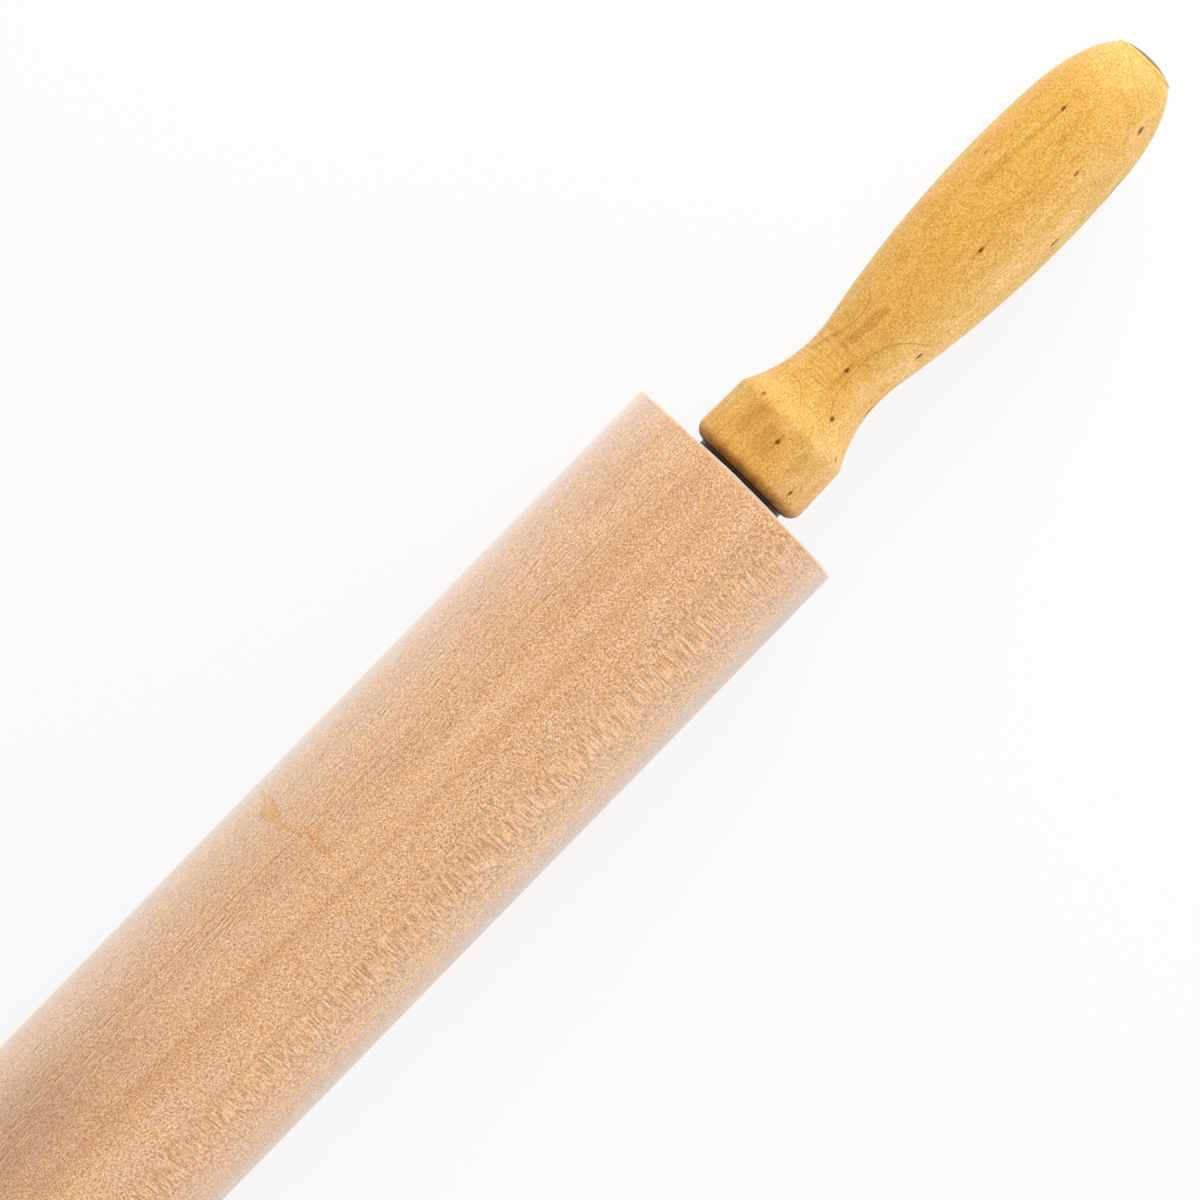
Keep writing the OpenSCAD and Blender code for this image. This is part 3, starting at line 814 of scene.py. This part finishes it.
def painted_light_mask(tree, from_base, angle, patches):
    """A mask of painted light: painted sheen on the two sides, a painted highlight on the shoulder and
    painted light at the tip.
    """
    far_side = product(tree, ease(tree, angle, *far_sheen_from), ease(tree, angle, *far_sheen_to, 0.0, 0.38))
    near_side = product(tree, ease(tree, angle, *near_sheen_from),
                        ease(tree, angle, *near_sheen_to, 0.95, 0.15))
    shoulder = product(tree, ease(tree, from_base, *shoulder_highlight_from),
                       ease(tree, from_base, *shoulder_highlight_to, 0.30, 0.0))
    tip_light = ease(tree, from_base, *tip_light_from, 0.0, 0.66)
    wear_and_light = calc(tree, "MAXIMUM", calc(tree, "MAXIMUM", far_side, near_side), tip_light)
    wear_and_light = calc(tree, "MAXIMUM", wear_and_light, shoulder)
    return product(tree, wear_and_light, spread(tree, patches, 0.3, 0.7, 0.82, 1.0))


def neck_ridges(tree, from_base, angle):
    """Fine ridges that the turning tool left round the neck, up and down from 0."""
    ridges = cloud(tree, place_of(tree, product(tree, from_base, 2.1), product(tree, angle, 0.03)), 0.0)
    neck = product(tree, ease(tree, from_base, *ridges_from), ease(tree, from_base, *ridges_to, 1.0, 0.0),
                   ease(tree, angle, *ridges_fade, 1.0, 0.25))
    return product(tree, calc(tree, "SUBTRACT", ridges, 0.5), product(tree, neck, 1.25))


def make_handle_wood(name, side, pith, marks, lines, rings, smears):
    material, tree, shader = new_material(name)
    place = object_place(tree)
    x, y, z = parts_of(tree, place)
    from_base = calc(tree, "MULTIPLY_ADD", x, side, -handle_base / mm)
    angle = product(tree, calc(tree, "ARCTAN2", product(tree, y, -1.0), z), 180 / math.pi)
    log_place = place_calc(tree, "ADD", place, (side * log_shift, 0, 0))
    seen = node(tree, "ShaderNodeGroup",
                {"Place": log_place, "Pith": pith, "Ring Width": 2.6, "Waver": 2.2,
                 "Ray Size": (0.55, 0.24, 2.5), "Speckle Size": 0.30}, node_tree=wood_figure).outputs

    # Uneven varnish in soft patches, drawn out along the grain
    patches = cloud(tree, times(tree, place, 0.10, 0.22, 0.22), 2.0, 0.6)
    mottle = cloud(tree, times(tree, place, 0.35, 0.60, 0.60), 2.0, 0.6)
    value = calc(tree, "MULTIPLY_ADD", seen["Tone"], 0.3, 0.35)
    for pattern, share in ((patches, 0.32), (mottle, 0.20), (seen["Ray"], 0.34), (seen["Speckle"], 0.50),
                           (seen["Fibre"], 0.28)):
        value = added(tree, value, pattern, share)
    value = calc(tree, "MULTIPLY_ADD", seen["Ring"], -0.08, value)
    colour = shades(tree, value, [(0.0, amber_deep), (0.5, amber_mid), (1.0, amber_pale)])

    # Painted shade on the collar, painted sheen on the sides, a painted highlight on the shoulder, painted
    # light at the tip, and darker smears of varnish in places
    colour = stained(tree, ease(tree, from_base, *collar_shade_to, 1.0, 0.0), colour, painted_collar_shade)
    colour = stained(tree, painted_light_mask(tree, from_base, angle, patches), colour, painted_sheen_tint)
    for smear, strength in smears:
        colour = stained(tree, streak(tree, from_base, angle, smear, strength), colour, amber_smoke)

    # Growth rings that come out on the curves as thin lines
    for line in lines:
        colour = mixed(tree, streak(tree, from_base, angle, line, 0.55), colour, amber_line)
    for line in rings:
        colour = mixed(tree, streak(tree, angle, from_base, line, 0.50), colour, amber_line)
    ridges = neck_ridges(tree, from_base, angle)
    colour = mixed(tree, calc(tree, "MAXIMUM", ridges, 0.0), colour, amber_pale)
    colour = mixed(tree, calc(tree, "MAXIMUM", product(tree, ridges, -1.0), 0.0), colour, amber_deep)
    colour = mixed(tree, product(tree, flecks(tree, place, marks), 0.95), colour, fleck_brown)

    # The edge at the base is darker: painted shade, where it faces the dark gap by the washers
    ragged = product(tree, cloud(tree, times(tree, place, 0.3, 0.3, 0.3), 2.0), 1.6)
    base_shade = spread(tree, calc(tree, "ADD", from_base, ragged), *base_shade_reach, 0.95, 0.0)
    colour = mixed(tree, base_shade, colour, painted_base_shade)
    height = calc(tree, "MULTIPLY_ADD", seen["Speckle"], 0.7, seen["Ray"])
    height = calc(tree, "MULTIPLY_ADD", ridges, 2.0, height)
    wire(tree, shader, {"Base Color": colour, "Normal": raised(tree, height, 0.10, grain_depth),
                        "Roughness": spread(tree, seen["Speckle"], 0.0, 1.0, 0.52, 0.66),
                        "Specular IOR Level": 0.30, "Specular Tint": amber_gloss,
                        "Sheen Tint": amber_sheen, "Sheen Weight": 0.22, "Sheen Roughness": 0.45})
    return material


outside = handle_outside()
inside = [(handle_len, counterbore_r), (counterbore_floor, counterbore_r),
          (counterbore_floor, handle_bore_r), (0, handle_bore_r)]


def handle_radius(x):
    """The handle's outer radius at a distance from its base, in metres."""
    for (x0, r0), (x1, r1) in zip(outside, outside[1:]):
        if x0 <= x < x1:
            return r0 + (r1 - r0) * (x - x0) / (x1 - x0)
    return tip_r


def mark_at(side, x, angle, long, wide, strength):
    """A dark mark at a distance from the base and an angle from the top towards -Y, in millimetres."""
    r = handle_radius(x * mm) / mm
    turn = math.radians(angle)
    at = (side * (handle_base / mm + x), -r * math.sin(turn), r * math.cos(turn))
    return at, (soaked_out * long, soaked_out * wide, soaked_out * wide), strength


# Distance from the base, angle from the top towards -Y, length, width and strength of each dark mark
right_marks = [(10.7, 1, 0.80, 0.56, 1.0), (33.2, 1, 0.85, 0.52, 1.0), (23.1, 27, 0.72, 0.66, 0.95),
               (16.5, -40, 0.70, 0.60, 0.7), (47.0, 52, 1.20, 0.42, 1.0), (4.6, 42, 0.80, 0.44, 1.0),
               (17.3, 59, 1.20, 0.50, 0.7), (30.3, 74, 1.90, 0.55, 0.7), (90.0, -49, 0.70, 0.30, 0.6),
               (108.8, -24, 0.95, 0.48, 1.0), (73.1, 11, 0.95, 0.46, 1.0), (100.3, 24, 0.90, 0.42, 0.8),
               (117.7, 47, 1.40, 0.66, 0.9), (86.5, 61, 1.70, 0.38, 0.9), (106.0, 78, 1.80, 0.50, 0.5),
               (58.6, 41, 0.50, 0.30, 0.4)]

# Thin lines along the handle: distance from the base, angle and half width in degrees
right_lines = [[(19.7, 37, 1.0), (23.8, 22, 1.2), (27.9, 12.7, 1.2), (33.2, 9.9, 1.1), (38.7, 9.0, 1.1),
                (42.5, 14, 1.2), (45.4, 21.5, 1.4), (49.3, 43, 2.0), (51.6, 65, 2.4)],
               [(31.0, -70, 1.8), (32.7, -58.5, 1.6), (36.3, -47.5, 1.4), (40.7, -35.7, 1.2),
                (44.4, -32, 1.1), (47.4, -34.5, 1.2), (50.1, -46.5, 1.6), (51.2, -64, 2.0)],
               [(67.6, -41, 0.4), (73.4, -21.7, 0.5), (80.7, -1, 0.5), (88.5, 6, 0.45), (97.5, 7, 0.4)],
               [(119.8, 41, 1.0), (123.9, 11.6, 1.2), (127.8, -20.5, 1.6), (129.0, -30, 1.6)]]

# Thin lines round the handle: angle, distance from the base and half width in millimetres
right_rings = [[(-64, 20.6, 0.14), (-54.7, 22.1, 0.16), (-48.8, 23.2, 0.16), (-39.2, 24.0, 0.17),
                (-28.2, 23.8, 0.16), (-18.7, 22.6, 0.15), (-8.7, 20.3, 0.14), (0, 18.4, 0.12)]]

# Soft darker smears along the grain, as distance, angle and half width in degrees, each with its strength
right_smears = [([(31.0, -60, 5), (34.0, -52, 7), (38.5, -41, 5)], 0.8),
                ([(36.0, -25, 5), (41.0, -19, 9), (50.0, -14, 5)], 0.85),
                ([(82.0, -34, 4), (90.0, -30, 6), (99.0, -26, 5), (107.0, -25, 3)], 0.45),
                ([(5.0, -4, 10), (9.5, -6, 16), (13.0, -2, 9)], 0.5),
                ([(6.0, -30, 8), (12.0, -28, 13), (15.5, -24, 7)], 0.5),
                ([(6.5, 26, 6), (11.0, 30, 9), (14.5, 27, 5)], 0.4),
                ([(26.5, 2, 4), (33.0, 2, 6), (36.0, 1, 3)], 0.5),
                ([(66.0, 12, 3), (73.0, 11, 4), (79.0, 12, 3)], 0.4)]


def scattered(dice, count, last, low, high):
    """Dark marks between the base and a last distance, and between two angles."""
    return [(dice.uniform(6, last), dice.uniform(low, high), dice.uniform(0.6, 1.5),
             dice.uniform(0.34, 0.60), dice.uniform(0.6, 1.0)) for _ in range(count)]


# The right handle's back and the whole left handle, which the photograph doesn't show
dice = random.Random(7)
back_marks = scattered(dice, 12, 120, 95, 265)
left_marks = scattered(dice, 24, 122, 0, 360)
left_lines = [[(24.0, -60, 1.4), (28.0, -42, 1.2), (34.0, -34, 1.1), (42.0, -40, 1.2), (48.0, -56, 1.6)],
              [(70.0, 48, 1.0), (82.0, 24, 0.9), (96.0, 18, 0.8), (108.0, 26, 0.9)]]
left_rings = [[(-10, 19.5, 0.13), (8, 22.4, 0.16), (26, 23.2, 0.16), (44, 21.4, 0.14)]]
left_smears = [([(36.0, 10, 6), (42.0, 16, 9), (50.0, 14, 6)], 0.8),
               ([(84.0, -20, 4), (94.0, -16, 6), (104.0, -14, 4)], 0.6),
               ([(5.0, 20, 10), (10.0, 24, 15), (14.0, 18, 9)], 0.5)]

for side_name, side, pith, marks, lines, rings, smears in (
        ("left", -1, left_pith, left_marks, left_lines, left_rings, left_smears),
        ("right", 1, right_pith, right_marks + back_marks, right_lines, right_rings, right_smears)):
    handle = turned("handle_" + side_name + "_turned",
                    [(side * (handle_base + x), r) for x, r in outside + inside], sharp=40)
    placed = [mark_at(side, *m) for m in marks]
    put_on([handle], make_handle_wood("amber_varnish_" + side_name, side, pith, placed, lines, rings, smears))
    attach(handle, "axle")
    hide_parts("handle_" + side_name)


# Nuts
# A small plated washer and a hexagon nut at the bottom of each counterbore clamp the handle on the axle.

nut_stain = (0.30, 0.24, 0.14, 1)

put_on(on_both_sides("nut_washer") + on_both_sides("handle_nut"),
       metal("plated_nut_steel", plated_steel, 0.33, nut_stain, 0.3, marks=5.0))


# End plugs
# A turned wooden button closes each counterbore. Its thin head lies on the handle's tip under the same
# varnish, which has soaked in and gone brown on the end grain of its face.

plug_face = handle_base + handle_len
plug_shank = 5 * mm
plug_clear = 0.03 * mm
plug_shank_r = counterbore_r - plug_clear
plug_rim_in = 0.01 * mm
plug_head_r = tip_r - plug_rim_in
plug_rim_t = 0.6 * mm
plug_dome = 1.7 * mm
plug_ease = 0.03 * mm
plug_bevel = 0.5 * mm

# The middle of the plug's log and where the brown of its face ends, both in millimetres
plug_pith = (0, 22, -30)
plug_face_edge = (6.9, 7.2)

plug_deep = (0.730, 0.450, 0.110, 1)
plug_mid = (0.870, 0.570, 0.165, 1)
plug_pale = (0.970, 0.700, 0.270, 1)
face_brown = (0.250, 0.105, 0.026, 1)


def plug_outline():
    dome_curve = (plug_head_r ** 2 + plug_dome ** 2) / (2 * plug_dome)
    dome_turn = math.degrees(math.asin((plug_head_r - plug_ease) / dome_curve))
    top = plug_face + plug_rim_t + plug_dome
    back = plug_face - plug_shank
    outline = [(back, 0), (back, plug_shank_r - plug_bevel), (back + plug_bevel, plug_shank_r),
               (plug_face, plug_shank_r), (plug_face, plug_head_r - plug_ease)]
    outline += bow(plug_face + plug_ease, plug_head_r - plug_ease, plug_ease, 180, 90, 3)[1:]
    outline += [(plug_face + plug_rim_t - 0.5 * plug_ease, plug_head_r)]
    outline += bow(top - dome_curve, 0, dome_curve, dome_turn, 0, 10)
    return outline


def make_plug_wood():
    material, tree, shader = new_material("amber_plug_end_grain")
    place = object_place(tree)
    seen = node(tree, "ShaderNodeGroup",
                {"Place": place, "Pith": plug_pith, "Ring Width": 1.9, "Waver": 1.5,
                 "Ray Size": (1.0, 0.3, 2.5), "Speckle Size": 0.5}, node_tree=wood_figure).outputs
    value = calc(tree, "MULTIPLY_ADD", seen["Tone"], 0.4, 0.3)
    value = added(tree, added(tree, value, seen["Ray"], 0.4), seen["Speckle"], 0.4)
    value = calc(tree, "MULTIPLY_ADD", seen["Ring"], -0.06, value)
    colour = shades(tree, value, [(0.12, plug_deep), (0.5, plug_mid), (0.88, plug_pale)])
    _, y, z = parts_of(tree, place)
    wander = cloud(tree, times(tree, place, 0.5, 0.5, 0.5), 2.0, 0.6)
    face = ease(tree, added(tree, out_from_x(tree, y, z), wander, 0.8), *plug_face_edge, 1.0, 0.0)
    end_grain = calc(tree, "MULTIPLY_ADD", seen["Ring"], 0.30,
                     ease(tree, seen["Speckle"], 0.1, 0.9, 0.95, 0.80))
    wire(tree, shader, {"Base Color": mixed(tree, product(tree, face, end_grain), colour, face_brown),
                        "Roughness": spread(tree, seen["Speckle"], 0.2, 0.8, 0.38, 0.52),
                        "Normal": raised(tree, seen["Ring"], 0.15, grain_depth),
                        "Specular IOR Level": 0.15, "Specular Tint": amber_gloss})
    return material


plug_wood = make_plug_wood()
for side_name, side in (("left", -1), ("right", 1)):
    plug = turned("end_plug_" + side_name + "_turned", [(side * x, r) for x, r in plug_outline()],
                  closed=False, steps=128, sharp=35)
    put_on([plug], plug_wood)
    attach(plug, "axle")
    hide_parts("end_plug_" + side_name)


# Table, light and camera
# The pin lies on a plain white table under a soft studio light, seen from straight above, with the right
# handle pointing up and to the right.

table_size = 6.0
table_gap = 0.02 * mm
table_shadow = 0.16
table_white = (0.82, 0.82, 0.82, 1)
plain_white = (1, 1, 1, 1)
sky_strength = 0.70


def looked_at(tree):
    """1 for the rays that the camera sees, directly, in a reflection or through glass, and 0 for others."""
    rays = node(tree, "ShaderNodeLightPath").outputs
    return calc(tree, "MAXIMUM", rays["Is Camera Ray"],
                calc(tree, "MAXIMUM", rays["Is Glossy Ray"], rays["Is Transmission Ray"]))


def make_white_table():
    material, tree, shader = new_material("white_table")
    wire(tree, shader, {"Base Color": table_white, "Roughness": 0.9, "Specular IOR Level": 0.1})
    glow = node(tree, "ShaderNodeEmission", {"Color": plain_white, "Strength": 1.0}).outputs[0]
    glowing = product(tree, looked_at(tree), 1 - table_shadow)
    surface = node(tree, "ShaderNodeMixShader", {0: glowing, 1: shader.outputs[0], 2: glow}).outputs[0]
    out = next(n for n in tree.nodes if n.type == "OUTPUT_MATERIAL")
    wire(tree, out, {"Surface": surface})
    return material


table_shape = bmesh.new()
bmesh.ops.create_grid(table_shape, x_segments=2, y_segments=2, size=table_size / 2,
                      matrix=Matrix.Translation((0, 0, -barrel_r - table_gap)))
table = finished("table", table_shape)
put_on([table], make_white_table())

world = bpy.data.worlds.new("studio")
bpy.context.scene.world = world
world.use_nodes = True
sky = world.node_tree
sky.nodes.clear()
soft_light = node(sky, "ShaderNodeBackground", {"Color": plain_white, "Strength": sky_strength}).outputs[0]
white = node(sky, "ShaderNodeBackground", {"Color": plain_white, "Strength": 1.0}).outputs[0]
sky_mix = node(sky, "ShaderNodeMixShader", {0: looked_at(sky), 1: soft_light, 2: white}).outputs[0]
node(sky, "ShaderNodeOutputWorld", {"Surface": sky_mix})

# The two lamps' size, the place they face, and each one's own place and power, in metres and watts
lamp_size = 0.5
lamp_aim = Vector((0.12, 0, 0))
lamps = [("lamp_near_side", (-0.30, -0.90, 0.39), 2.06), ("lamp_far_side", (0.70, 0.20, 0.38), 3.36)]
for name, place, power in lamps:
    lamp = bpy.data.lights.new(name, "AREA")
    lamp.shape = "SQUARE"
    lamp.size = lamp_size
    lamp.energy = power
    holder = bpy.data.objects.new(name, lamp)
    bpy.context.scene.collection.objects.link(holder)
    holder.location = place
    holder.rotation_euler = (Vector(place) - lamp_aim).to_track_quat("Z", "Y").to_euler()

camera_data = bpy.data.cameras.new("camera")
camera = bpy.data.objects.new("camera", camera_data)
bpy.context.scene.collection.objects.link(camera)
frame_right = Vector((0.69814, -0.71596, 0))
frame_up = Vector((0.71596, 0.69814, 0))
camera_place = Vector((0.10974, 0.00349, 1.5))
view_width = 0.2707
film_width = 36
camera.matrix_world = Matrix.Translation(camera_place) @ Matrix(
    (frame_right, frame_up, frame_right.cross(frame_up))).transposed().to_4x4()
camera_data.sensor_width = film_width
camera_data.lens = film_width * camera_place.z / view_width
bpy.context.scene.camera = camera
bpy.context.scene.view_settings.view_transform = "Standard"
